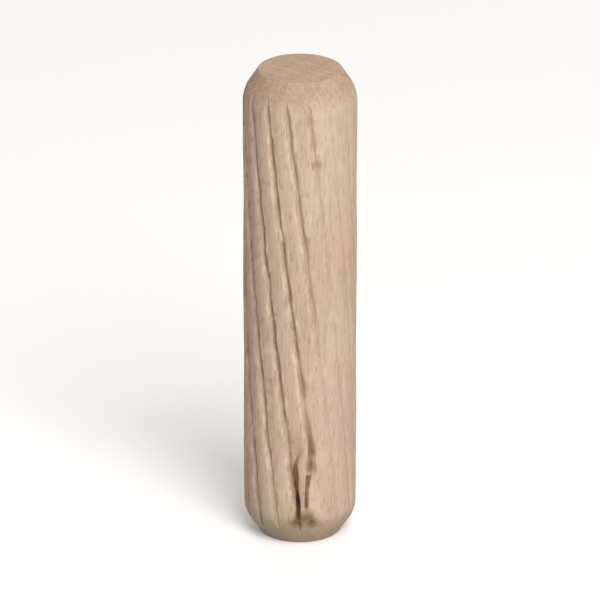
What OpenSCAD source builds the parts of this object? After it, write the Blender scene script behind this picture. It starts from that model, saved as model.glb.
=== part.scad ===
// Fluted dowel pin, turned from one length of pale hardwood.
// Sixteen pressed flutes wind round the shank and run out on the two chamfered ends.
// The pin stands on its lower end face, centred on the Z axis. Sizes are in millimetres.

/* [Pin] */

// Diameter over the lands between the flutes
pin_d = 8; // [6:0.5:12]

// Length from end face to end face
pin_l = 35; // [25:1:60]

/* [Ends] */

// Diameter of the flat sawn face at each end
face_d = 5.8; // [3:0.1:5.8]

// Slope of the chamfer, measured from the pin's axis
chamfer_angle = 34; // [26:1:45]

// Radius that eases the chamfer into the shank
shoulder_r = 2.6; // [0.5:0.1:3.5]

/* [Flutes] */

// How many flutes go round the shank
flute_count = 16; // [8:1:18]

// Width of a flute between the edges of its lands
flute_w = 0.42; // [0.2:0.02:0.5]

// Depth of a flute below the lands
flute_depth = 0.3; // [0.15:0.05:0.5]

// Turn of the flutes, in degrees for each millimetre of length
flute_turn = 1.8; // [0:0.1:2.5]

/* [Split end] */

// Length of the crack that has opened in one flute at the lower end
crack_l = 5.1; // [3:0.1:7]

// Width of the crack at its widest, near its upper end
crack_w = 0.44; // [0.3:0.02:0.6]

// Depth of the crack below the lands
crack_depth = 1; // [0.6:0.1:1.6]

// Lean of the crack from the pin's axis, less than the lean of its flute
crack_lean = 0.6; // [0:0.2:8]

// How far the crack bows to the left of a straight line, most of it near its top
crack_bow = 0.2; // [0:0.01:0.25]

// Length of the finer split that leaves the next flute and runs down beside the crack
split_l = 3.7; // [1.5:0.1:4]

// Lean of the finer split, the other way
split_lean = 5.8; // [0:0.2:12]

// How far the finer split bows to the left of a straight line, most of it half way up
split_bow = 0.14; // [0:0.01:0.25]

// Gap between the middles of the two pits at the foot of the crack
pit_gap = 1.05; // [0.9:0.05:1.4]

/* [Hidden] */

// A little extra, so that each cutter breaks cleanly through the surface
over = 0.3;

pin_r = pin_d / 2;

// Steps in the eased shoulder and along a flute
shoulder_steps = 5;
flute_steps = 14;

// Radius at which the chamfer's straight cone ends and its eased shoulder starts
ease_r = pin_r - shoulder_r * (1 - cos(chamfer_angle));

// The shortest cone that may be left between the sawn face and the shoulder
least_cone = 0.1;
face_r = min(face_d / 2, ease_r - least_cone);
ease_z = (ease_r - face_r) / tan(chamfer_angle);

// Height at which the shank is at its full diameter
chamfer_l = ease_z + shoulder_r * sin(chamfer_angle);

// One side of an end's outline, from its flat face up to the shank
function end_outline() = [
    [0, 0],
    [face_r, 0],
    for (i = [0 : shoulder_steps])
        let (slope = chamfer_angle * (1 - i / shoulder_steps))
        [pin_r - shoulder_r * (1 - cos(slope)), chamfer_l - shoulder_r * sin(slope)]
];

// The far end is the same outline turned over
function far_outline() = [
    for (i = [len(end_outline()) - 1 : -1 : 0])
        [end_outline()[i][0], pin_l - end_outline()[i][1]]
];

// The front of the pin, where the split is, faces -Y
front = -90;

// Where the flute that has opened into the crack meets the lower end, measured round from the front
split_flute = 1.7;
flute_pitch = 360 / flute_count;

// A flute's floor and the knee in its sides, as shares of its half width and of its depth
floor_width = 0.26;
knee_width = 0.62;
knee_depth = 0.62;

// How much wider than its mouth a flute's cutter is just above the lands
mouth_flare = 1.3;

// The two pits: their height as a share of the chamfer's, their radius as a share of the crack's width,
// and how far their middles lie below the lands, as a share of that radius
pit_level = 0.82;
pit_width = 0.7;
pit_sink = 0.5;
pit_z = chamfer_l * pit_level;
pit_r = crack_w * pit_width;
pit_turn = pit_gap / pin_r * 180 / PI;

// Height at which the finer split leaves the next flute, a little below the top of the crack
split_level = 0.92;
split_top_z = pit_z + crack_l * split_level;

// The finer split is narrower and shallower than the crack
split_w = crack_w * 0.8;
split_depth = crack_depth * 0.4;

// The edges of a cleft from its foot up: share of its length, then share of its width to that side.
// Each has a narrow neck, and is widest near its top.
right_edge = [
    [0, 0], [0.09, 0.24], [0.29, 0.32], [0.42, 0.25],
    [0.56, 0.4], [0.74, 0.5], [0.87, 0.32], [1, 0]
];
left_edge = [[0.07, 0.22], [0.26, 0.31], [0.41, 0.28], [0.57, 0.4], [0.73, 0.52], [0.88, 0.38]];

// How a cleft bows: 1 makes it bow most half way up, and more moves that nearer its top
crack_climb = 3;
split_climb = 1;

// Angle round the pin of the crack's flute at a height
function flute_at(z) = front + split_flute - flute_turn * z;

module blank() {
    rotate_extrude($fn = 96)
        polygon(concat(end_outline(), far_outline()));
}

// A flute's section: steep sides that turn in at a knee to a narrow floor
module flute_section() {
    half = flute_w / 2;
    polygon([
        [pin_r - flute_depth, -half * floor_width],
        [pin_r - flute_depth * knee_depth, -half * knee_width],
        [pin_r, -half],
        [pin_r + over, -half * mouth_flare],
        [pin_r + over, half * mouth_flare],
        [pin_r, half],
        [pin_r - flute_depth * knee_depth, half * knee_width],
        [pin_r - flute_depth, half * floor_width]
    ]);
}

// The tool that presses one flute, longer than the pin at both ends
module flute_cutter() {
    run = pin_l + 2 * over;
    translate([0, 0, -over])
        rotate([0, 0, flute_turn * over])
            linear_extrude(height = run, twist = flute_turn * run, slices = flute_steps)
                flute_section();
}

module flutes() {
    for (i = [0 : flute_count - 1])
        rotate([0, 0, front + split_flute + i * flute_pitch])
            flute_cutter();
}

// One edge of a cleft, bowed to the left; side is 1 for its right edge and -1 for its left
function cleft_edge(edge, side, length, width, bow, climb) = [
    for (point = edge)
        let (up = point[0], out = point[1])
        [side * width * out - bow * sin(180 * pow(up, climb)), length * up]
];

// The left edge runs on from the top of the right one, so its points are taken from the top down
function cleft_outline(length, width, bow, climb) =
    let (down = [for (i = [len(left_edge) - 1 : -1 : 0]) left_edge[i]])
    concat(
        cleft_edge(right_edge, 1, length, width, bow, climb),
        cleft_edge(down, -1, length, width, bow, climb)
    );

// A long thin opening cut straight in towards the axis, with a narrow neck and widest near its top
module cleft(length, width, depth, bow, climb) {
    rotate([90, 0, 90])
        translate([0, 0, pin_r - depth])
            linear_extrude(height = depth + over)
                polygon(cleft_outline(length, width, bow, climb));
}

// The crack starts in its flute and leans less, because the wood splits along its grain
module crack() {
    translate([0, 0, pit_z])
        rotate([0, 0, flute_at(pit_z)])
            rotate([crack_lean, 0, 0])
                cleft(crack_l, crack_w, crack_depth, crack_bow, crack_climb);
}

// The finer split leaves the next flute and leans the other way
module cross_split() {
    translate([0, 0, split_top_z])
        rotate([0, 0, flute_at(split_top_z) + flute_pitch])
            rotate([-split_lean, 0, 0])
                translate([0, 0, -split_l])
                    cleft(split_l, split_w, split_depth, split_bow, split_climb);
}

// The two pits side by side at the foot of the crack
module pits() {
    for (side = [0, 1])
        rotate([0, 0, flute_at(pit_z) + side * pit_turn])
            translate([pin_r - pit_r * pit_sink, 0, pit_z])
                sphere(r = pit_r, $fn = 48);
}

module dowel_pin() {
    color([0.84, 0.73, 0.62])
        difference() {
            blank();
            flutes();
            crack();
            cross_split();
            pits();
        }
}

dowel_pin();
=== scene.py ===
"""A spiral-fluted dowel pin of bare beech, standing on its end on a pale floor."""

import math

import bpy
import numpy as np
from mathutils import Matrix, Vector, noise


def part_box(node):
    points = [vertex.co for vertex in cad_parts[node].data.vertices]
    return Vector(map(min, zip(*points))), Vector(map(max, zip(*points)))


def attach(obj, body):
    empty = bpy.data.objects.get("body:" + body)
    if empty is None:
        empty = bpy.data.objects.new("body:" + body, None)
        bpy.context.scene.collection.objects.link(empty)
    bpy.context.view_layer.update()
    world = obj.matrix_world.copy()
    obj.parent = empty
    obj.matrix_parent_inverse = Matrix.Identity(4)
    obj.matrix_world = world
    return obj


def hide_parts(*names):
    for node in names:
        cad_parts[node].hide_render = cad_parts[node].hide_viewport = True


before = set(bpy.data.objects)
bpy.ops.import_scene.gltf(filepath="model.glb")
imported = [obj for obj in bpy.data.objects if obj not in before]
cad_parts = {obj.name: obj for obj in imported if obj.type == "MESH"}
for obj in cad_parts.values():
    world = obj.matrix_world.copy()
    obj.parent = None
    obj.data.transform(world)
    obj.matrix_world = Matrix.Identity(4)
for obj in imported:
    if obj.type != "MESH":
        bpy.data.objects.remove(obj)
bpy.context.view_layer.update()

MM = 0.001

# ---------------------------------------------------------------- the pin's sizes

PIN_LOW, PIN_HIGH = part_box("dowel_pin")
PIN_R = (PIN_HIGH.x - PIN_LOW.x) / 2
PIN_L = PIN_HIGH.z - PIN_LOW.z

FACE_R = 2.9 * MM
CHAMFER = math.radians(34)
SHOULDER_R = 2.6 * MM

FLUTES = 16
FLUTE_W = 0.42 * MM
FLUTE_DEPTH = 0.3 * MM
FLUTE_TURN = math.radians(1.8) / MM
LAND_CROWN = 0.12 * MM

# Where the split flute meets the lower end, a little to the right of the front
FRONT = math.radians(-90)
SPLIT_FLUTE = math.radians(1.7)
PITCH = 2 * math.pi / FLUTES
PITCH_ARC = PITCH * PIN_R
LEAN = math.atan(FLUTE_TURN * PIN_R)

# Counted from the split flute: the one that the finer split leaves, and one that has a nick
CROSS_FLUTE = 1
NICK_FLUTE = 3
NICK_Z = 28.9 * MM

CRACK_L = 5.1 * MM
CRACK_W = 0.44 * MM
CRACK_DEPTH = 1 * MM
SPLIT_L = 3.7 * MM
SPLIT_W = CRACK_W * 0.8

# The pits: the gap between their middles, the left one's radius, and the arc to it from the split flute
PIT_GAP = 1.05 * MM
PIT_R = 0.31 * MM
PIT_ASIDE = -0.09 * MM

# Heights of the pits as a share of the chamfer's, and of the finer split's top as a share of the crack's
PIT_LEVEL = 0.82
SPLIT_LEVEL = 0.92

EASE_R = PIN_R - SHOULDER_R * (1 - math.cos(CHAMFER))
EASE_Z = (EASE_R - FACE_R) / math.tan(CHAMFER)
CHAMFER_L = EASE_Z + SHOULDER_R * math.sin(CHAMFER)
PIT_Z = CHAMFER_L * PIT_LEVEL
SPLIT_TOP = PIT_Z + CRACK_L * SPLIT_LEVEL


# ---------------------------------------------------------------- random relief


def ease(value, low, high):
    """A smooth step from 0 at low to 1 at high."""
    share = np.clip((value - low) / (high - low), 0, 1)
    return share * share * (3 - 2 * share)


def bell(value, middle, width):
    """1 in the middle, falling smoothly on both sides to about a third at the width given."""
    return np.exp(-(((value - middle) / width) ** 2))


# Raw noise stretched by this lies between about -1 and 1, and lanes this far apart look unrelated
NOISE_STRETCH = 1.6
LANE_GAP = 7.31


def wander(along, lane, run, seed):
    """A smooth random line between about -1 and 1, one lane for each flute, that changes over each run."""
    lane_place = lane * LANE_GAP
    return np.array([noise.noise(Vector((z / run, lane_place, seed))) * NOISE_STRETCH for z in along])


def wood_field(angle, height, across, along, seed):
    """Random relief that follows the wood, which runs straight along the pin."""
    tight = PIN_R / across
    field = np.zeros(angle.shape)
    for row, z in enumerate(height):
        field[row] = [
            noise.noise(Vector((math.cos(turn) * tight, math.sin(turn) * tight, z / along + seed)))
            for turn in angle[row]
        ]
    return field


# ---------------------------------------------------------------- the turned blank and its mesh

# Columns of the mesh over one pitch: most beside and over the split, and crowded towards the flutes
PITCH_COLUMNS = 15
SPLIT_COLUMNS = 28
NEAR_SPLIT_COLUMNS = 18
CROWDING = 0.6
SPLIT_CROWDING = 0.35

# Rows of the mesh: first those at each rim, in millimetres from the end face
RIM_ROWS = (0, 0.015, 0.04, 0.08)
AFTER_RIM = 0.14 * MM
SPLIT_ROWS_END = 6.6 * MM
FAR_ROWS_L = 2.9 * MM
ROW_GAP = 0.1 * MM
SPLIT_ROWS = 96
SHANK_ROWS = 224
FAR_ROWS = 26


def blank_radius(height):
    """Radius of the pin before it was fluted: flat ends, a cone and an eased shoulder."""
    from_end = np.minimum(height, PIN_L - height)
    cone = FACE_R + from_end * math.tan(CHAMFER)
    rise = np.clip(CHAMFER_L - from_end, 0, SHOULDER_R)
    shoulder = PIN_R - SHOULDER_R + np.sqrt(SHOULDER_R**2 - rise**2)
    return np.where(from_end < EASE_Z, cone, shoulder)


def column_places():
    """Arc from the split flute to each column of the mesh, closest at the flutes and over the split."""
    places = []
    for flute in range(FLUTES):
        columns = {0: SPLIT_COLUMNS, FLUTES - 1: NEAR_SPLIT_COLUMNS}.get(flute, PITCH_COLUMNS)
        crowding = SPLIT_CROWDING if flute == 0 else CROWDING
        for column in range(columns):
            share = column / columns
            share -= crowding * math.sin(2 * math.pi * share) / (2 * math.pi)
            places.append((flute + share) * PITCH_ARC)
    return np.array(places)


def row_heights():
    """Heights of the mesh's rows, closest together at the ends and over the split."""
    rim = np.array(RIM_ROWS) * MM
    split = np.linspace(AFTER_RIM, SPLIT_ROWS_END, SPLIT_ROWS)
    shank = np.linspace(SPLIT_ROWS_END + ROW_GAP, PIN_L - FAR_ROWS_L - ROW_GAP, SHANK_ROWS)
    far_end = np.linspace(PIN_L - FAR_ROWS_L, PIN_L - AFTER_RIM, FAR_ROWS)
    return np.concatenate([rim, split, shank, far_end, PIN_L - rim[::-1]])


# ---------------------------------------------------------------- the flutes

# The flutes were pressed most lightly here, to the right of the front and further round towards the top
LIGHT_SIDE = math.radians(41)
LIGHT_TURN = math.radians(0.4) / MM
LIGHT_LOSS = 0.7
LIGHT_UP_TO = math.radians(22)
FIRM_FROM = math.radians(53)

# They are a little shallower above this stretch too
TOP_LOSS = 0.2
TOP_LOSS_FROM = 23 * MM
TOP_LOSS_TO = 29 * MM

# The line of a flute, which sways slowly and shakes quickly: how far, over what run, and its seed
SWAY = 0.075 * MM
SWAY_RUN = 2.4 * MM
SWAY_SEED = 1.7
SHAKE = 0.028 * MM
SHAKE_RUN = 0.6 * MM
SHAKE_SEED = 5.1

# A flute's two sides and its depth, as shares: the usual one, how much it wanders, over what run, its seed
LEFT_SIDE = (0.7, 0.26, 1.1 * MM, 9.4)
RIGHT_SIDE = (0.44, 0.18, 1.1 * MM, 17.3)
DEPTH = (0.95, 0.2, 3.4 * MM, 13.8)

# Where the rollers skipped, a flute loses this share of its depth
SKIP_LOSS = 0.45
SKIP_RUN = 1.3 * MM
SKIP_SEED = 23.1
SKIP_STEP = (0.2, 0.7)

# How much less steep than straight a flute's sides are at its floor, and how much steeper at the lands
SIDE_CURVE = 0.3

# The flute that the finer split leaves is pulled to the right, and then back past its own line
BEND_FROM = 12 * MM
BEND_RUN = 5 * MM
BEND_RIGHT = 0.12 * MM
RETURN_ABOVE_SPLIT = 1 * MM
RETURN_RUN = 1.6 * MM
RETURN_LEFT = 0.24 * MM

# Shares of their depth that flutes lose near the split: the one that the finer split leaves and the one on
# the crack's left lose it over a stretch that starts and ends so far below the finer split's top, and the
# split flute loses it round a height above that
CROSS_LOSS = 0.75
CROSS_STEP = (-0.2 * MM, 0.5 * MM)
LEFT_LOSS = 0.55
LEFT_STEP = (-1 * MM, 2 * MM)
OVER_LOSS = 0.7
OVER_LOSS_RISE = 1.5 * MM
OVER_LOSS_REACH = 2 * MM


def pressing(angle, height):
    """How deep the rollers went all round the pin: least on its light side, and less towards the top."""
    light = LIGHT_SIDE + LIGHT_TURN * height[:, None]
    away = (angle - FRONT - light + math.pi) % (2 * math.pi) - math.pi
    firm = 1 - LIGHT_LOSS * (1 - ease(np.abs(away), LIGHT_UP_TO, FIRM_FROM))
    return firm * (1 - TOP_LOSS * ease(height, TOP_LOSS_FROM, TOP_LOSS_TO))[:, None]


def bend_to_split(height):
    """How far to the right the flute that the finer split leaves is pulled as it comes down to it."""
    pull = BEND_RIGHT * ease(BEND_FROM - height, 0, BEND_RUN)
    return pull - RETURN_LEFT * ease(SPLIT_TOP + RETURN_ABOVE_SPLIT - height, 0, RETURN_RUN)


def varied(height, flute, usual, swing, run, seed):
    """A share that wanders round its usual value along one flute."""
    return usual + swing * wander(height, flute, run, seed)


def kept_by_split(flute, height):
    """The share of its depth that a flute keeps beside the split and over it."""
    below_top = SPLIT_TOP - height
    if flute == CROSS_FLUTE:
        return 1 - CROSS_LOSS * ease(below_top, *CROSS_STEP)
    if flute == FLUTES - 1:
        return 1 - LEFT_LOSS * ease(below_top, *LEFT_STEP)
    if flute == 0:
        return 1 - OVER_LOSS * bell(height, SPLIT_TOP + OVER_LOSS_RISE, OVER_LOSS_REACH)
    return np.ones_like(height)


def press(place, height, angle):
    """Depth of the flutes, the fall of the lands towards them and how far each place is from its flute."""
    lane = np.round(place / PITCH_ARC).astype(int)
    aside = place - lane * PITCH_ARC
    depth = np.zeros((len(height), len(place)))
    for passed in range(FLUTES + 1):
        mine = lane == passed
        flute = passed % FLUTES
        line = wander(height, flute, SWAY_RUN, SWAY_SEED) * SWAY
        line = line + wander(height, flute, SHAKE_RUN, SHAKE_SEED) * SHAKE
        if flute == CROSS_FLUTE:
            line = line + bend_to_split(height)
        off = aside[mine][None, :] - line[:, None]
        left = FLUTE_W * varied(height, flute, *LEFT_SIDE)
        right = FLUTE_W * varied(height, flute, *RIGHT_SIDE)
        width = np.where(off < 0, left[:, None], right[:, None])
        reach = np.clip(np.abs(off) / width, 0, 1)
        deep = varied(height, flute, *DEPTH)
        deep -= SKIP_LOSS * ease(wander(height, flute, SKIP_RUN, SKIP_SEED), *SKIP_STEP)
        deep *= kept_by_split(flute, height)
        depth[:, mine] = FLUTE_DEPTH * deep[:, None] * (1 - reach) * (1 + SIDE_CURVE * reach)
    crown = LAND_CROWN * (1 - np.abs(aside) / (PITCH_ARC / 2)) ** 2
    hard = pressing(angle, height)
    return depth * hard, crown[None, :] * hard, np.abs(aside)[None, :]


# ---------------------------------------------------------------- the split at the lower end

# The edges of a cleft from its foot up: share of its height, then share of its width to that side
RIGHT_EDGE = (
    (0, 0),
    (0.09, 0.24),
    (0.29, 0.32),
    (0.42, 0.25),
    (0.56, 0.4),
    (0.74, 0.5),
    (0.87, 0.32),
    (1, 0),
)
LEFT_EDGE = (
    (0, 0),
    (0.07, 0.22),
    (0.26, 0.31),
    (0.41, 0.28),
    (0.57, 0.4),
    (0.73, 0.52),
    (0.88, 0.38),
    (1, 0),
)


class Cleft:
    """A long thin opening with a narrow neck, widest near its top, in arcs measured from the split flute.

    A straight line joins its foot to its top. The lean of that line is in degrees from the pin's axis, and
    above 0 where it rises to the left. The opening bows to the left of it: most of all half way up where
    climb is 1, and nearer its top where climb is more.
    """

    # Its middle drifts and jitters, and its edges are ragged: how much, in which lane and run, and the seed
    DRIFT = 0.045 * MM
    DRIFT_LANE = 5
    DRIFT_RUN = 0.9 * MM
    DRIFT_SEED = 25.0
    JITTER = 0.02 * MM
    JITTER_LANE = 7
    JITTER_RUN = 0.22 * MM
    JITTER_SEED = 31.0
    RAGGED = 0.2
    RAGGED_LANE = 3
    RAGGED_RUN = 0.4 * MM
    RAGGED_SEED = 21.0

    # How far its slopes reach past its edges, how steep they are, and how thin it is where it gets shallow
    PAST_EDGE = 0.04 * MM
    SLOPE_REACH = 1.1
    STEEP = 2.4
    THIN = 0.05 * MM

    def __init__(self, low, high, lean, bow, climb, width):
        self.low = low
        self.height = high - low
        self.lean = math.radians(lean)
        self.bow = bow
        self.climb = climb
        self.width = width
        self.foot = 0.0

    def line(self, height):
        """Where its middle is at each height."""
        up = np.clip((height - self.low) / self.height, 0, 1)
        straight = (height - self.low) * (math.tan(LEAN) - math.tan(self.lean))
        return self.foot + straight - self.bow * np.sin(math.pi * up**self.climb)

    def start_at(self, height, place):
        """Moves it round the pin until it passes through a place."""
        self.foot += place - self.line(height)

    def inside(self, around, height):
        """How far each place lies inside it: 1 at its bottom and 0 on the sound surface."""
        up = (height - self.low) / self.height
        right = np.interp(up, *zip(*RIGHT_EDGE))
        left = np.interp(up, *zip(*LEFT_EDGE))
        own_seed = self.DRIFT_SEED + self.low / MM
        drift = wander(height, self.DRIFT_LANE, self.DRIFT_RUN, own_seed) * self.DRIFT
        drift = drift + wander(height, self.JITTER_LANE, self.JITTER_RUN, self.JITTER_SEED) * self.JITTER
        ragged = 1 + wander(height, self.RAGGED_LANE, self.RAGGED_RUN, self.RAGGED_SEED) * self.RAGGED
        off = around - (self.line(height) + drift)[:, None]
        half = np.where(off < 0, left[:, None], right[:, None]) * self.width * ragged[:, None]
        slope = np.clip(1 - np.abs(off) / (half * self.SLOPE_REACH + self.PAST_EDGE), 0, 1)
        return np.clip(slope * self.STEEP, 0, 1) * np.clip(half / self.THIN, 0, 1)


# The crack, and the finer split that leaves the next flute
CRACK = Cleft(PIT_Z, PIT_Z + CRACK_L, lean=0.6, bow=0.2 * MM, climb=3, width=CRACK_W)
SPLIT = Cleft(SPLIT_TOP - SPLIT_L, SPLIT_TOP, lean=-5.8, bow=0.14 * MM, climb=1, width=SPLIT_W)
SPLIT.start_at(SPLIT_TOP, PITCH_ARC)

# The crack's depth at some shares of its height, as shares of its full depth: deepest in its neck
CRACK_STAGES = (0, 0.2, 0.32, 0.45, 1)
CRACK_DEEP = (0.35, 0.75, 0.9, 0.6, 0.35)

# From this share of its height up to its tip the crack fades away too, and loses up to this share
CRACK_FADE_FROM = 0.7
CRACK_FADE = 0.5

# The depth of the finer split as a share of the crack's full depth
SPLIT_DEEP = 0.35

# A bridge of wood that partly fills the finer split, near its top
BRIDGE_BELOW_TOP = 0.95 * MM
BRIDGE_HALF = 0.18 * MM
BRIDGE_FILL = 0.6

# Towards its foot the finer split closes a little
SPLIT_CLOSES = 0.15
SPLIT_CLOSES_FROM = SPLIT_L * 0.35

# Where the crack's tip turns into a hair crack that runs up to the right
TIP = PIT_Z + CRACK_L - 0.8 * MM
HAIR_L = 1.9 * MM
HAIR_LEAN = math.radians(14.5)
HAIR_HALF = 0.15 * MM
HAIR_DEPTH = 0.08 * MM
HAIR_START = 0.3 * MM
HAIR_FADE_FROM = HAIR_L * 0.4

# How torn the finer split and the hair crack look beside the crack
SPLIT_TORN = 0.86
HAIR_TORN = 0.42

# The two pits: the middle of each, its radius and its depth as a share of that
PITS = (
    (PIT_ASIDE, PIT_R, 0.9),
    (PIT_ASIDE + PIT_GAP, PIT_R * 0.85, 0.6),
)
PIT_SQUAT = 1.25
PIT_RAGGED = 0.4
PIT_STAIN = 0.55 * MM
GRIT = 0.2 * MM
GRIT_SEED = 60.0

# A shallow stained hollow that joins the two pits
SADDLE_RISE = 0.36 * MM
SADDLE_HALF = 0.6 * MM
SADDLE_DEPTH = 0.08 * MM
SADDLE_STAIN = 0.9
SADDLE_LEFT = (-0.4 * MM, 0)
SADDLE_RIGHT = (PIT_GAP - 0.1 * MM, PIT_GAP + 0.4 * MM)

# The stain beside the crack: its strength, its reach to either side, and where it starts and ends as shares
# of the crack's height
BROWNED = 0.2
BROWNED_HALF = 0.6 * MM
BROWNED_FOOT = (-0.1, 0.1)
BROWNED_TOP = (0.9, 1.5)

# The crack's neck is darkened right through, partly by stain and partly by painted shade where the crack is
# deepest: its middle and reach, as shares of the crack's height
NECK = 0.3
NECK_REACH = 0.12

# A stained line that runs on from the foot of the finer split
SEAM = 0.6
SEAM_HALF = 0.18 * MM
SEAM_TOP = (SPLIT_L * 0.6, SPLIT_L * 0.9)
SEAM_FOOT = (SPLIT_L, SPLIT_L * 1.3)

# The wedge of wood between the crack and the finer split has lifted. It rises to the right of the split flute
# and falls before the finer split, and it starts and ends so far below the finer split's top.
LIFT = 0.04 * MM
WEDGE_LEFT = (0.3 * MM, 0.6 * MM)
WEDGE_RIGHT = (-0.35 * MM, -0.05 * MM)
WEDGE_TOP = (-0.6 * MM, 0.4 * MM)
WEDGE_FOOT = (2 * MM, 3.4 * MM)


def open_wood(around, height):
    """Depth of the crack, the finer split and the hair crack, how torn the wood is, and the crack alone."""
    high = height[:, None]
    up_crack = (high - PIT_Z) / CRACK_L
    below_top = SPLIT_TOP - high

    crack = CRACK.inside(around, height) * (1 - CRACK_FADE * ease(up_crack, CRACK_FADE_FROM, 1))
    split = SPLIT.inside(around, height)
    split *= 1 - BRIDGE_FILL * bell(below_top, BRIDGE_BELOW_TOP, BRIDGE_HALF)
    split *= 1 - SPLIT_CLOSES * ease(below_top, SPLIT_CLOSES_FROM, SPLIT_L)

    hair_line = CRACK.line(TIP) + (high - TIP) * (math.tan(LEAN) + math.tan(HAIR_LEAN))
    hair = bell(around, hair_line, HAIR_HALF) * ease(high - TIP, 0, HAIR_START)
    hair *= 1 - ease(high - TIP, HAIR_FADE_FROM, HAIR_L)

    deep = np.interp(up_crack, CRACK_STAGES, CRACK_DEEP)
    depth = np.maximum(crack * CRACK_DEPTH * deep, split * CRACK_DEPTH * SPLIT_DEEP)
    depth = np.maximum(depth, hair * HAIR_DEPTH)
    torn = np.maximum(np.maximum(crack, split * SPLIT_TORN), hair * HAIR_TORN)
    return depth, torn, crack


def pitted_wood(around, height):
    """Depth and stain of the two pits at the foot of the crack and of the hollow between them."""
    high = height[:, None]
    depth = np.zeros((len(height), around.shape[1]))
    stain = np.zeros_like(depth)
    grit = wood_field((around + 0 * high) / PIN_R, height, GRIT, GRIT, GRIT_SEED)
    for middle, size, deep in PITS:
        away = np.hypot(around - middle, (high - PIT_Z) * PIT_SQUAT) / (1 + PIT_RAGGED * grit)
        pit = np.sqrt(np.clip(1 - (away / size) ** 2, 0, 1))
        depth = np.maximum(depth, pit * size * deep)
        stain = np.maximum(stain, bell(away, 0, PIT_STAIN))
    saddle = bell(high, PIT_Z + SADDLE_RISE, SADDLE_HALF)
    saddle = saddle * ease(around, *SADDLE_LEFT) * (1 - ease(around, *SADDLE_RIGHT))
    depth = np.maximum(depth, saddle * SADDLE_DEPTH)
    stain = np.maximum(stain, saddle * SADDLE_STAIN)
    return depth, stain


def split_wood(place, height):
    """The split at the lower end: its depth, the torn wood, the stain at its foot and the lifted wedge."""
    around = (place + PITCH_ARC * FLUTES / 2) % (PITCH_ARC * FLUTES) - PITCH_ARC * FLUTES / 2
    around = around[None, :]
    high = height[:, None]
    up_crack = (high - PIT_Z) / CRACK_L
    below_top = SPLIT_TOP - high

    depth, torn, crack = open_wood(around, height)
    pits, stain = pitted_wood(around, height)
    depth = np.maximum(depth, pits)

    browned = bell(around, CRACK.line(height)[:, None], BROWNED_HALF)
    browned = browned * ease(up_crack, *BROWNED_FOOT) * (1 - ease(up_crack, *BROWNED_TOP))
    stain = np.maximum(stain, browned * BROWNED)
    # The crack's neck: stain, and painted shade where it is deepest
    stain = np.maximum(stain, crack * bell(up_crack, NECK, NECK_REACH))
    seam = bell(around, SPLIT.line(height)[:, None], SEAM_HALF)
    seam *= ease(below_top, *SEAM_TOP) * (1 - ease(below_top, *SEAM_FOOT))
    stain = np.maximum(stain, seam * SEAM)

    off_split = around - SPLIT.line(height)[:, None]
    wedge = ease(around, *WEDGE_LEFT) * (1 - ease(off_split, *WEDGE_RIGHT))
    lift = wedge * ease(below_top, *WEDGE_TOP) * (1 - ease(below_top, *WEDGE_FOOT))
    return depth, torn, stain, lift * LIFT


# ---------------------------------------------------------------- the flutes that have begun to tear

# Which flute, the heights where the tear starts and ends, how far it takes to fade, and how strong it is
TEARS = (
    (0, PIT_Z + CRACK_L * 1.5, 10.5 * MM, 1.5 * MM, 0.3),
    (CROSS_FLUTE, SPLIT_TOP - 0.8 * MM, 10.6 * MM, 1.8 * MM, 1),
    (NICK_FLUTE, NICK_Z, NICK_Z + 0.9 * MM, 0.6 * MM, 0.6),
)
TEAR_DEPTH = 0.2 * MM

# Half the width of a tear as a share of a flute's width, and how much more it has near its foot
TEAR_HALF = 0.74
TEAR_MORE = 0.5
TEAR_NARROWS = (0.5 * MM, 1.5 * MM)

# Where it starts, from its foot, how its side falls off, and what it loses of its strength on its way up
TEAR_START = (-0.4 * MM, 0.2 * MM)
TEAR_SIDE = (0.35, 1)
TEAR_TIRES = 0.4

# The frayed edge of a tear: how far it strays, across and along the wood, and its seed
FRAY = 0.14 * MM
FRAY_SIZE = (0.16 * MM, 0.7 * MM, 80.0)

# Its strength comes and goes: the usual one, how much it wanders, over what run, its seed, and its own lane
PATCHY = (0.8, 0.4, 0.5 * MM, 35.0)
PATCHY_LANE = 11


def tears_above(place, height, angle):
    """Where the flutes over the split have begun to tear as well, fading upwards, and one nick higher up."""
    torn = np.zeros((len(height), len(place)))
    frayed = wood_field(angle, height, *FRAY_SIZE) * FRAY
    patchy = varied(height, PATCHY_LANE, *PATCHY)
    for flute, low, high, fade, strength in TEARS:
        bend = bend_to_split(height) if flute == CROSS_FLUTE else 0 * height
        aside = np.abs(place[None, :] - flute * PITCH_ARC - bend[:, None])
        if flute == 0:
            aside = np.minimum(aside, FLUTES * PITCH_ARC - place[None, :])
        reach = FLUTE_W * (TEAR_HALF + TEAR_MORE * (1 - ease(height - low, *TEAR_NARROWS)))
        near = 1 - ease((aside + frayed) / reach[:, None], *TEAR_SIDE)
        along = ease(height - low, *TEAR_START) * (1 - ease(height, high - fade, high))
        along *= (1 - TEAR_TIRES * ease(height, low, high)) * patchy
        torn = np.maximum(torn, near * along[:, None] * strength)
    return torn


# ---------------------------------------------------------------- the whole surface

# Random relief on the pin: its size across and along the wood and its seed, then how high or deep it is
CHIPS = (0.2 * MM, 0.55 * MM, 3.0)
CHIP_DEPTH = 0.07 * MM
CHIP_STEP = (0.15, 0.55)
KNOCKS = (0.5 * MM, 3 * MM, 40.0)
KNOCK_DEPTH = 0.03 * MM
KNOCK_STEP = (0.2, 0.7)
KNOCK_L = 0.3 * MM
FIBRES = (0.3 * MM, 2.2 * MM, 0.0)
FIBRE_HEIGHT = 0.016 * MM
WAVES = (1.6 * MM, 4.5 * MM, 11.0)
WAVE_DEPTH = 0.03 * MM
SPLINTERS = (0.07 * MM, 1.1 * MM, 70.0)
SPLINTER_HEIGHT = 0.12 * MM

# The wood is smooth at its very ends, and its relief starts over this length
SMOOTH_L = 0.4 * MM

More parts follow.
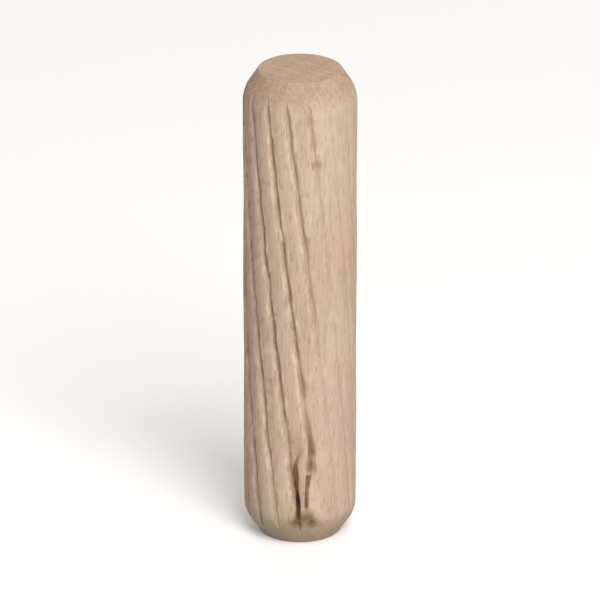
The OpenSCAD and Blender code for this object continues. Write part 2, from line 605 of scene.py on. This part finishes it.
# The edge of a land beside its flute
EDGE_ASIDE = FLUTE_W * 0.6
EDGE_HALF = 0.16 * MM

# The worn rim of an end face
RIM_WEAR = 0.05 * MM
RIM_L = 0.06 * MM

# How torn the flutes over the split look, and how much of the chamfer's fall counts towards the split's depth
TEAR_TORN = 0.9
SUNK_SHARE = 0.5

# How far from an end the rubbed edges and their painted glints start and the end grain stops
RUBBED_AND_GLINT_STEP = (CHAMFER_L * 0.8, CHAMFER_L * 1.2)
END_GRAIN_STEP = (EASE_Z * 0.6, CHAMFER_L)

# The share of a land's fall that doesn't count as a hollow
CROWN_SHARE = 0.8

# Each ring of an end face, as a share of its rim
END_RINGS = (0.975, 0.92, 0.8, 0.62, 0.42, 0.2)


def pin_skin():
    """The pin's points row by row, with its hollows, torn wood, stain and end grain."""
    place = column_places()
    height = row_heights()
    angle = FRONT + SPLIT_FLUTE + place[None, :] / PIN_R - FLUTE_TURN * height[:, None]
    blank = blank_radius(height)[:, None]
    sunk = PIN_R - blank
    from_end = np.minimum(height, PIN_L - height)[:, None]

    flutes, crown, aside = press(place, height, angle)
    chips = ease(wood_field(angle, height, *CHIPS), *CHIP_STEP)
    edge = bell(aside, EDGE_ASIDE, EDGE_HALF) * pressing(angle, height)
    tears = tears_above(place, height, angle)
    fluted = np.maximum(flutes + tears * TEAR_DEPTH, chips * edge * CHIP_DEPTH)
    fluted = np.maximum(fluted + crown - sunk, 0)
    split, torn, stain, lift = split_wood(place, height)
    torn = np.maximum(torn, tears * TEAR_TORN)
    split = np.maximum(split - sunk * SUNK_SHARE, 0)

    rim = RIM_WEAR * (1 - ease(from_end, 0, RIM_L)) ** 2
    knocks = ease(wood_field(angle, height, *KNOCKS), *KNOCK_STEP)
    rim = rim + knocks * KNOCK_DEPTH * (1 - ease(from_end, 0, KNOCK_L))
    fibres = wood_field(angle, height, *FIBRES) * FIBRE_HEIGHT
    waves = wood_field(angle, height, *WAVES) * WAVE_DEPTH
    relief = (fibres + np.minimum(waves, 0)) * ease(from_end, 0, SMOOTH_L) * (1 - torn)
    splinters = wood_field(angle, height, *SPLINTERS) * torn * SPLINTER_HEIGHT

    radius = blank - np.maximum(fluted, split) - rim + relief + lift + splinters
    points = np.stack(
        [
            radius * np.cos(angle),
            radius * np.sin(angle),
            np.broadcast_to(height[:, None], radius.shape),
        ],
        axis=-1,
    )
    surface_marks = {
        "hollow": np.clip((fluted - crown * CROWN_SHARE) / FLUTE_DEPTH, 0, 1),
        "torn": torn,
        "stain": stain,
        # Pale flute edges: rubbed wood, and painted glints where edges catch the light
        "rubbed_and_glint": edge * (1 - chips) * ease(from_end, *RUBBED_AND_GLINT_STEP),
        "end_grain": 1 - ease(from_end + 0 * radius, *END_GRAIN_STEP),
    }
    return points, surface_marks


def end_rings(rim):
    """Rings of points that close an end face, from just inside its rim to near its middle."""
    rings = []
    for share in END_RINGS:
        ring = rim.copy()
        ring[:, :2] *= share
        rings.append(ring)
    return rings


def build_pin():
    """The whole pin as one closed mesh."""
    skin, surface_marks = pin_skin()
    rows, columns = skin.shape[:2]
    low_rings = end_rings(skin[0])
    high_rings = end_rings(skin[-1])
    stack = low_rings[::-1] + list(skin) + high_rings
    points = np.concatenate(stack)
    low_middle = len(points)
    high_middle = low_middle + 1
    points = np.concatenate([points, [[0, 0, 0], [0, 0, PIN_L]]])

    faces = []
    for row in range(len(stack) - 1):
        for column in range(columns):
            beside = (column + 1) % columns
            base = row * columns
            above = base + columns
            faces.append((base + column, base + beside, above + beside, above + column))
    last = (len(stack) - 1) * columns
    for column in range(columns):
        beside = (column + 1) % columns
        faces.append((beside, column, low_middle))
        faces.append((last + column, last + beside, high_middle))

    mesh = bpy.data.meshes.new("fluted_pin")
    mesh.from_pydata(points.tolist(), [], faces)
    mesh.validate()
    mesh.shade_smooth()
    for name, values in surface_marks.items():
        capped = np.full(len(points), 1.0 if name == "end_grain" else 0.0)
        first = len(low_rings) * columns
        capped[first : first + rows * columns] = values.ravel()
        mesh.attributes.new(name, "FLOAT", "POINT").data.foreach_set("value", capped)
    pin = bpy.data.objects.new("fluted_pin", mesh)
    bpy.context.scene.collection.objects.link(pin)
    return pin


# ---------------------------------------------------------------- finishes


class Wire:
    """A value or colour between nodes, with arithmetic that adds the Math nodes."""

    def __init__(self, nodes, socket):
        self.nodes = nodes
        self.socket = socket

    def maths(self, operation, first, second=0.0):
        return self.nodes.add("ShaderNodeMath", {"operation": operation}, {0: first, 1: second})

    def __add__(self, other):
        return self.maths("ADD", self, other)

    def __radd__(self, other):
        return self.maths("ADD", other, self)

    def __sub__(self, other):
        return self.maths("SUBTRACT", self, other)

    def __rsub__(self, other):
        return self.maths("SUBTRACT", other, self)

    def __mul__(self, other):
        return self.maths("MULTIPLY", self, other)

    def __rmul__(self, other):
        return self.maths("MULTIPLY", other, self)

    def __truediv__(self, other):
        return self.maths("DIVIDE", self, other)

    def __pow__(self, other):
        return self.maths("POWER", self, other)

    def fraction(self):
        return self.maths("FRACT", self)

    def either(self, other):
        """The larger of the two."""
        return self.maths("MAXIMUM", self, other)


class Nodes:
    """The nodes of a material or of the world."""

    def __init__(self, owner):
        owner.use_nodes = True
        self.tree = owner.node_tree
        self.tree.nodes.clear()

    def add(self, kind, settings, inputs, output=0):
        """Adds a node: its settings first, then the values or wires of its sockets."""
        node = self.tree.nodes.new(kind)
        for name, value in settings.items():
            setattr(node, name, value)
        for name, value in inputs.items():
            if isinstance(value, Wire):
                self.tree.links.new(value.socket, node.inputs[name])
            else:
                node.inputs[name].default_value = value
        return Wire(self, node.outputs[output] if node.outputs else None)

    def blend(self, factor, first, second):
        """Mixes two colours: 0 gives the first and 1 the second."""
        return self.add("ShaderNodeMix", {"data_type": "RGBA"}, {0: factor, 6: first, 7: second}, 2)

    def step(self, value, low, high):
        """A smooth step from 0 at low to 1 at high."""
        settings = {"interpolation_type": "SMOOTHSTEP"}
        inputs = {"Value": value, "From Min": low, "From Max": high}
        return self.add("ShaderNodeMapRange", settings, inputs)

    def mark(self, tone, pattern, low, high, strength, paint):
        """Paints a tone where a pattern is high: not at all up to low, at the full strength from high."""
        return self.blend(self.step(pattern, low, high) * strength, tone, paint)

    def speckle(self, place, detail=2.0, roughness=0.5, twist=0.0):
        """Even noise from 0 to 1 over the places given."""
        inputs = {
            "Vector": place,
            "Scale": 1.0,
            "Detail": detail,
            "Roughness": roughness,
            "Distortion": twist,
        }
        return self.add("ShaderNodeTexNoise", {}, inputs)

    def spot(self, place, centre, reach):
        """1 at the centre given and 0 beyond its reach."""
        away = self.add("ShaderNodeVectorMath", {"operation": "DISTANCE"}, {0: place, 1: centre}, 1)
        return self.step(away, reach, 0.0)

    def part(self, place, axis):
        """How far a place is along X, Y or Z: axis 0, 1 or 2."""
        return self.add("ShaderNodeSeparateXYZ", {}, {0: place}, axis)

    def mesh_mark(self, name):
        """What the mesh says about each point: its hollows, torn wood, stain, pale edges and end grain."""
        return self.add("ShaderNodeAttribute", {"attribute_name": name}, {}, 2)

    def seen(self):
        """1 for what the camera sees, also in something shiny or through something clear, and 0 for light."""
        camera = self.add("ShaderNodeLightPath", {}, {}, "Is Camera Ray")
        shiny = self.add("ShaderNodeLightPath", {}, {}, "Is Glossy Ray")
        clear = self.add("ShaderNodeLightPath", {}, {}, "Is Transmission Ray")
        return camera.either(shiny).either(clear)


def colour(red, green, blue):
    return (red, green, blue, 1.0)


def on_side(turn, height):
    """A place on the pin's side, so many degrees round from the front and to the right."""
    angle = FRONT + math.radians(turn)
    return (PIN_R * math.cos(angle), PIN_R * math.sin(angle), height)


# Sound wood
DULL_BEECH = colour(0.6, 0.455, 0.35)
PALE_BEECH = colour(0.66, 0.515, 0.4)
WARM_BEECH = colour(0.63, 0.44, 0.36)
PINK_BEECH = colour(0.66, 0.455, 0.385)
CREAM_BEECH = colour(0.64, 0.505, 0.365)
LATE_WOOD = colour(0.45, 0.3, 0.2)
STREAK_BROWN = colour(0.5, 0.355, 0.255)
FIBRE_BROWN = colour(0.48, 0.33, 0.23)
RAY_BROWN = colour(0.42, 0.27, 0.18)
PORE_BROWN = colour(0.34, 0.21, 0.14)

# Worked and broken wood, and painted glints and shade
LIFTED_WOOD_AND_GLINT = colour(0.74, 0.59, 0.45)
BRUISED_WOOD = colour(0.44, 0.31, 0.21)
RUBBED_AND_GLINT_WOOD = colour(0.78, 0.65, 0.5)
PRESSED_WOOD_AND_SHADE = colour(0.33, 0.205, 0.12)
LEFT_SIDE_SHADE = colour(0.38, 0.26, 0.165)
RIGHT_SIDE_SHADE = colour(0.45, 0.32, 0.22)
FOOT_SHADE = colour(0.36, 0.285, 0.21)
LOW_LEFT_GREY = colour(0.33, 0.29, 0.21)
STAINED_WOOD = colour(0.155, 0.085, 0.028)
TORN_DARK = colour(0.19, 0.095, 0.038)
TORN_PALE = colour(0.37, 0.22, 0.11)
TORN_STAINED = colour(0.19, 0.09, 0.026)

# End grain
END_BROWN = colour(0.48, 0.335, 0.235)
END_PORE = colour(0.24, 0.145, 0.09)
END_RING = colour(0.3, 0.18, 0.105)
END_RAY = colour(0.6, 0.45, 0.325)

# Sizes of what shows in the wood and of the patches in its painted shade, in millimetres: out from the tree's
# middle, round it and along the pin
PATCH = (4.5, 4.5, 13)
WARM_PATCH = (2.6, 2.6, 9)
STREAK = (0.42, 0.42, 11)
FIBRE = (0.11, 0.11, 2.2)
PORE = (0.085, 0.085, 1.1)
RAY = (5, 0.13, 0.8)
FLECK = (0.32, 0.32, 1.3)
# These two vary the flutes' darkness, partly painted shade, and the painted shade on the left side
FLUTE_DARK_PATCH = (0.5, 0.5, 1.5)
SHADE_MOTTLE = (0.9, 0.9, 2)
END_DOT = (0.13, 0.13, 0.6)
END_SPOKE = (3.5, 0.2, 4)
SHRED = (0.08, 0.08, 1.2)
SAW_MARK = (0.14, 4, 9)

# How far off the tree's middle was and the width of its rings, in millimetres, and the way to it in degrees
TREE_AWAY = 38
RING_W = 1.9
TREE_TURN = -38

# Where the wood is creamier: degrees round to the right, height and reach in millimetres
CREAM_PLACES = (
    (-16, 2.8, 2.6),
    (-30, 9.5, 3),
    (-54, 10, 4),
    (30, 6, 2.4),
    (24, 29, 7),
)

# Where small flakes have lifted near the crack, and where painted glints stand for flute edges catching the
# light higher up, in the same way
LIFTED_AND_GLINT_PLACES = (
    (20, 6.9, 0.9),
    (17, 3.1, 0.9),
    (-13, 4.2, 1),
    (4.5, 8, 0.6),
    (-1, 27.5, 0.6),
    (18, 30.2, 0.6),
    (-11, 33.6, 0.5),
    (13, 33, 0.6),
    (9, 25.3, 0.6),
    (12, 21.1, 0.5),
    (7, 13.3, 0.7),
    (-36, 15, 0.7),
)

# One place each that is pinker, bruised, or darker and greyer, in the same way
PINK_PLACE = (32, 9, 8)
BRUISE = (-5, 8.3, 1.9)
LOW_LEFT_GREY_PLACE = (-42, 0.4, 4)

# How far to each side painted shade darkens the pin's sides, and up to what height painted shade reaches at
# the foot
LEFT_SHADE_FROM = -2 * MM
LEFT_SHADE_TO = -3.9 * MM
RIGHT_SHADE_FROM = 2.4 * MM
RIGHT_SHADE_TO = 4 * MM
FOOT_SHADE_FROM = 2.5 * MM
FOOT_SHADE_FULL = 1.5 * MM


def bare_beech():
    """Dry, unsealed beech. The tree's middle lay beyond one side, so rays and rings cross it that way."""
    material = bpy.data.materials.new("bare_beech")
    wood = Nodes(material)
    place = wood.add("ShaderNodeTexCoord", {}, {}, 3)
    outward = (0.0, 0.0, math.radians(TREE_TURN))

    def grains(radial, tangential, along):
        """Places counted in grains of this size in millimetres, measured the way the tree grew."""
        size = (radial * MM, tangential * MM, along * MM)
        inputs = {"Vector": place, "Rotation": outward, "Scale": size}
        return wood.add("ShaderNodeMapping", {"vector_type": "TEXTURE"}, inputs)

    def spot(turn, height, reach):
        """A soft spot on the pin's side: degrees round to the right, height and reach in millimetres."""
        return wood.spot(place, on_side(turn, height * MM), reach * MM)

    patches = wood.speckle(grains(*PATCH), 2.0)
    warmth = wood.speckle(grains(*WARM_PATCH), 2.0, 0.5, 0.4)
    streaks = wood.speckle(grains(*STREAK), 3.0, 0.6)
    fibres = wood.speckle(grains(*FIBRE), 3.0, 0.6)
    pores = wood.speckle(grains(*PORE), 1.0)
    rays = wood.speckle(grains(*RAY), 1.0)

    along = wood.part(place, 2)
    radial = wood.part(grains(1, 1, 1), 0) + TREE_AWAY
    tangential = wood.part(grains(1, 1, 1), 1)
    ring = (radial**2 + tangential**2) ** 0.5 / RING_W + patches * 0.9
    late = ring.fraction() ** 4

    # Sound wood, from its broad patches to its pores, with pale lifted flakes and painted glints
    tone = wood.blend(wood.step(patches, 0.38, 0.62), DULL_BEECH, PALE_BEECH)
    tone = wood.mark(tone, warmth, 0.46, 0.7, 0.55, WARM_BEECH)
    tone = wood.blend(spot(*PINK_PLACE) * 0.6, tone, PINK_BEECH)
    for cream in CREAM_PLACES:
        tone = wood.blend(spot(*cream) * 0.7, tone, CREAM_BEECH)
    # Pale spots: lifted flakes near the crack, and painted glints higher up
    for pale_place in LIFTED_AND_GLINT_PLACES:
        tone = wood.blend(spot(*pale_place) * 0.8, tone, LIFTED_WOOD_AND_GLINT)
    tone = wood.blend(spot(*BRUISE) * 0.5, tone, BRUISED_WOOD)
    tone = wood.blend(late * 0.16, tone, LATE_WOOD)
    tone = wood.mark(tone, streaks, 0.45, 0.7, 0.3, STREAK_BROWN)
    tone = wood.mark(tone, fibres, 0.42, 0.75, 0.26, FIBRE_BROWN)
    tone = wood.mark(tone, rays, 0.6, 0.7, 0.35, RAY_BROWN)
    tone = wood.mark(tone, pores, 0.61, 0.7, 0.4, PORE_BROWN)

    # Edges rubbed pale and painted with glints, flutes pressed dark and painted with shade, and painted shade
    # down the sides, most on the left
    hollow = wood.mesh_mark("hollow")
    flecks = wood.speckle(grains(*FLECK), 2.0)
    # Pale flecks at the flute edges: rubbed wood, and painted glints
    tone = wood.blend(wood.mesh_mark("rubbed_and_glint") * wood.step(flecks, 0.45, 0.6) * 0.8, tone, RUBBED_AND_GLINT_WOOD)
    flute_dark_patches = wood.speckle(grains(*FLUTE_DARK_PATCH), 2.0)
    # Flutes darker where deeper: the pressed wood is darker, and shade in the hollows is painted in too
    tone = wood.blend(hollow * (0.28 + wood.step(flute_dark_patches, 0.42, 0.62) * 0.4), tone, PRESSED_WOOD_AND_SHADE)
    across = wood.part(place, 0)
    # Painted shade on the right side
    tone = wood.mark(tone, across, RIGHT_SHADE_FROM, RIGHT_SHADE_TO, 0.16, RIGHT_SIDE_SHADE)
    # Painted shade on the left side, mottled
    left_shade = wood.step(across, LEFT_SHADE_FROM, LEFT_SHADE_TO)
    shade_mottle = wood.speckle(grains(*SHADE_MOTTLE), 2.0, 0.6)
    tone = wood.blend(left_shade * (0.2 + wood.step(shade_mottle, 0.45, 0.65) * 0.35), tone, LEFT_SIDE_SHADE)

    # The ends, where the grain is cut across
    end_grain = wood.mesh_mark("end_grain")
    dots = wood.speckle(grains(*END_DOT), 2.0)
    spokes = wood.speckle(grains(*END_SPOKE), 1.0)
    cut = wood.mark(END_BROWN, dots, 0.5, 0.68, 0.7, END_PORE)
    cut = wood.blend(late * 0.3, cut, END_RING)
    cut = wood.mark(cut, spokes, 0.55, 0.68, 0.5, END_RAY)
    tone = wood.blend(end_grain * 0.72, tone, cut)

    # Painted shade at the foot, a darker, greyer patch low on the left, the stain round the pits with painted
    # shade in the crack's neck, and the torn wood
    # Painted shade at the foot, where the chamfer faces the floor
    tone = wood.mark(tone, along, FOOT_SHADE_FROM, FOOT_SHADE_FULL, 0.5, FOOT_SHADE)
    tone = wood.blend(spot(*LOW_LEFT_GREY_PLACE) * 0.65, tone, LOW_LEFT_GREY)
    # The stain also holds painted shade in the crack's neck
    stain = wood.mesh_mark("stain")
    tone = wood.blend(stain * 0.9, tone, STAINED_WOOD)
    shreds = wood.speckle(grains(*SHRED), 2.0)
    raw = wood.blend(wood.step(shreds, 0.35, 0.65), TORN_DARK, TORN_PALE)
    raw = wood.blend(stain * 0.85, raw, TORN_STAINED)
    tone = wood.blend(wood.mesh_mark("torn") * 0.94, tone, raw)

    # Fine relief: fibres and streaks stand up, pores lie deep, and the saw has scored the ends
    saw = wood.speckle(grains(*SAW_MARK), 2.0)
    height = fibres * 0.6 + streaks * 0.3 - wood.step(pores, 0.6, 0.7) * 0.6
    height = height - hollow * fibres * 0.8 + end_grain * (saw + dots) * 0.5
    bump = wood.add("ShaderNodeBump", {}, {"Strength": 0.7, "Distance": 0.04 * MM, "Height": height})
    surface = wood.add(
        "ShaderNodeBsdfPrincipled",
        {},
        {
            "Base Color": tone,
            "Roughness": 0.7 + fibres * 0.18,
            "Normal": bump,
            "Specular IOR Level": 0.1,
        },
    )
    wood.add("ShaderNodeOutputMaterial", {}, {"Surface": surface})
    return material


# ---------------------------------------------------------------- the stage

# Distances on the stage are in metres, and the camera's rise is in degrees
PURE_WHITE = colour(1, 1, 1)
FLOOR_WHITE = colour(0.9, 0.9, 0.9)
WARM_WALLS = colour(1, 0.9, 0.8)
WALL_LIGHT = 0.2
FLOOR_LIFT = 0.2
FLOOR_HALF = 1.5

LAMP_AWAY = 0.5

CAMERA_LENS = 400
CAMERA_RISE = 23
CAMERA_AWAY = 0.47
CAMERA_NEAR = 0.01


def white_board():
    """The plain floor: matt white with the object's shadow, lifted a little where it is seen."""
    material = bpy.data.materials.new("white_board")
    board = Nodes(material)
    matt = board.add("ShaderNodeBsdfDiffuse", {}, {"Color": FLOOR_WHITE})
    glow = board.add("ShaderNodeEmission", {}, {"Color": PURE_WHITE, "Strength": FLOOR_LIFT})
    pale_place = board.add("ShaderNodeAddShader", {}, {0: matt, 1: glow})
    both = board.add("ShaderNodeMixShader", {}, {0: board.seen(), 1: matt, 2: pale_place})
    board.add("ShaderNodeOutputMaterial", {}, {"Surface": both})
    return material


def aim(thing, target):
    """Turns a lamp or the camera to face a place."""
    thing.rotation_euler = (Vector(target) - thing.location).to_track_quat("-Z", "Y").to_euler()


def polar(azimuth, elevation, distance, centre):
    """A place round the pin: azimuth 0 is in front of it, and more goes to the right."""
    turn = math.radians(azimuth)
    rise = math.radians(elevation)
    out = Vector((math.sin(turn) * math.cos(rise), -math.cos(turn) * math.cos(rise), math.sin(rise)))
    return Vector(centre) + out * distance


def soft_box(name, azimuth, elevation, size, power, centre):
    """A round soft lamp that faces the pin."""
    lamp = bpy.data.lights.new(name, "AREA")
    lamp.shape = "DISK"
    lamp.size = size
    lamp.energy = power
    body = bpy.data.objects.new(name, lamp)
    bpy.context.scene.collection.objects.link(body)
    body.location = polar(azimuth, elevation, LAMP_AWAY, centre)
    aim(body, centre)


def lay_floor():
    """The plain floor that the pin stands on."""
    half = FLOOR_HALF
    mesh = bpy.data.meshes.new("floor")
    corners = [(-half, -half, 0), (half, -half, 0), (half, half, 0), (-half, half, 0)]
    mesh.from_pydata(corners, [], [(0, 1, 2, 3)])
    mesh.materials.append(white_board())
    floor = bpy.data.objects.new("floor", mesh)
    bpy.context.scene.collection.objects.link(floor)


def light_room():
    """Dim, warm walls all round, which the camera sees as plain white."""
    world = bpy.data.worlds.new("room")
    room = Nodes(world)
    walls = room.add("ShaderNodeBackground", {}, {"Color": WARM_WALLS, "Strength": WALL_LIGHT})
    white = room.add("ShaderNodeBackground", {}, {"Color": PURE_WHITE, "Strength": 1.0})
    both = room.add("ShaderNodeMixShader", {}, {0: room.seen(), 1: walls, 2: white})
    room.add("ShaderNodeOutputWorld", {}, {"Surface": both})
    bpy.context.scene.world = world


def place_camera(centre):
    """A long lens in front of the pin, looking a little down on it."""
    data = bpy.data.cameras.new("camera")
    data.lens = CAMERA_LENS
    data.clip_start = CAMERA_NEAR
    camera = bpy.data.objects.new("camera", data)
    bpy.context.scene.collection.objects.link(camera)
    camera.location = polar(0, CAMERA_RISE, CAMERA_AWAY, centre)
    aim(camera, centre)
    bpy.context.scene.camera = camera


# ---------------------------------------------------------------- putting it together

pin = build_pin()
pin.data.materials.append(bare_beech())
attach(pin, "root")
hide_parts("dowel_pin")

centre = (0, 0, PIN_L / 2)
lay_floor()
light_room()
soft_box("key", azimuth=23, elevation=46, size=0.3, power=2, centre=centre)
soft_box("top", azimuth=30, elevation=78, size=0.35, power=0.5, centre=centre)
soft_box("back", azimuth=185, elevation=30, size=0.4, power=0.5, centre=centre)
place_camera(centre)

bpy.context.scene.view_settings.view_transform = "Standard"
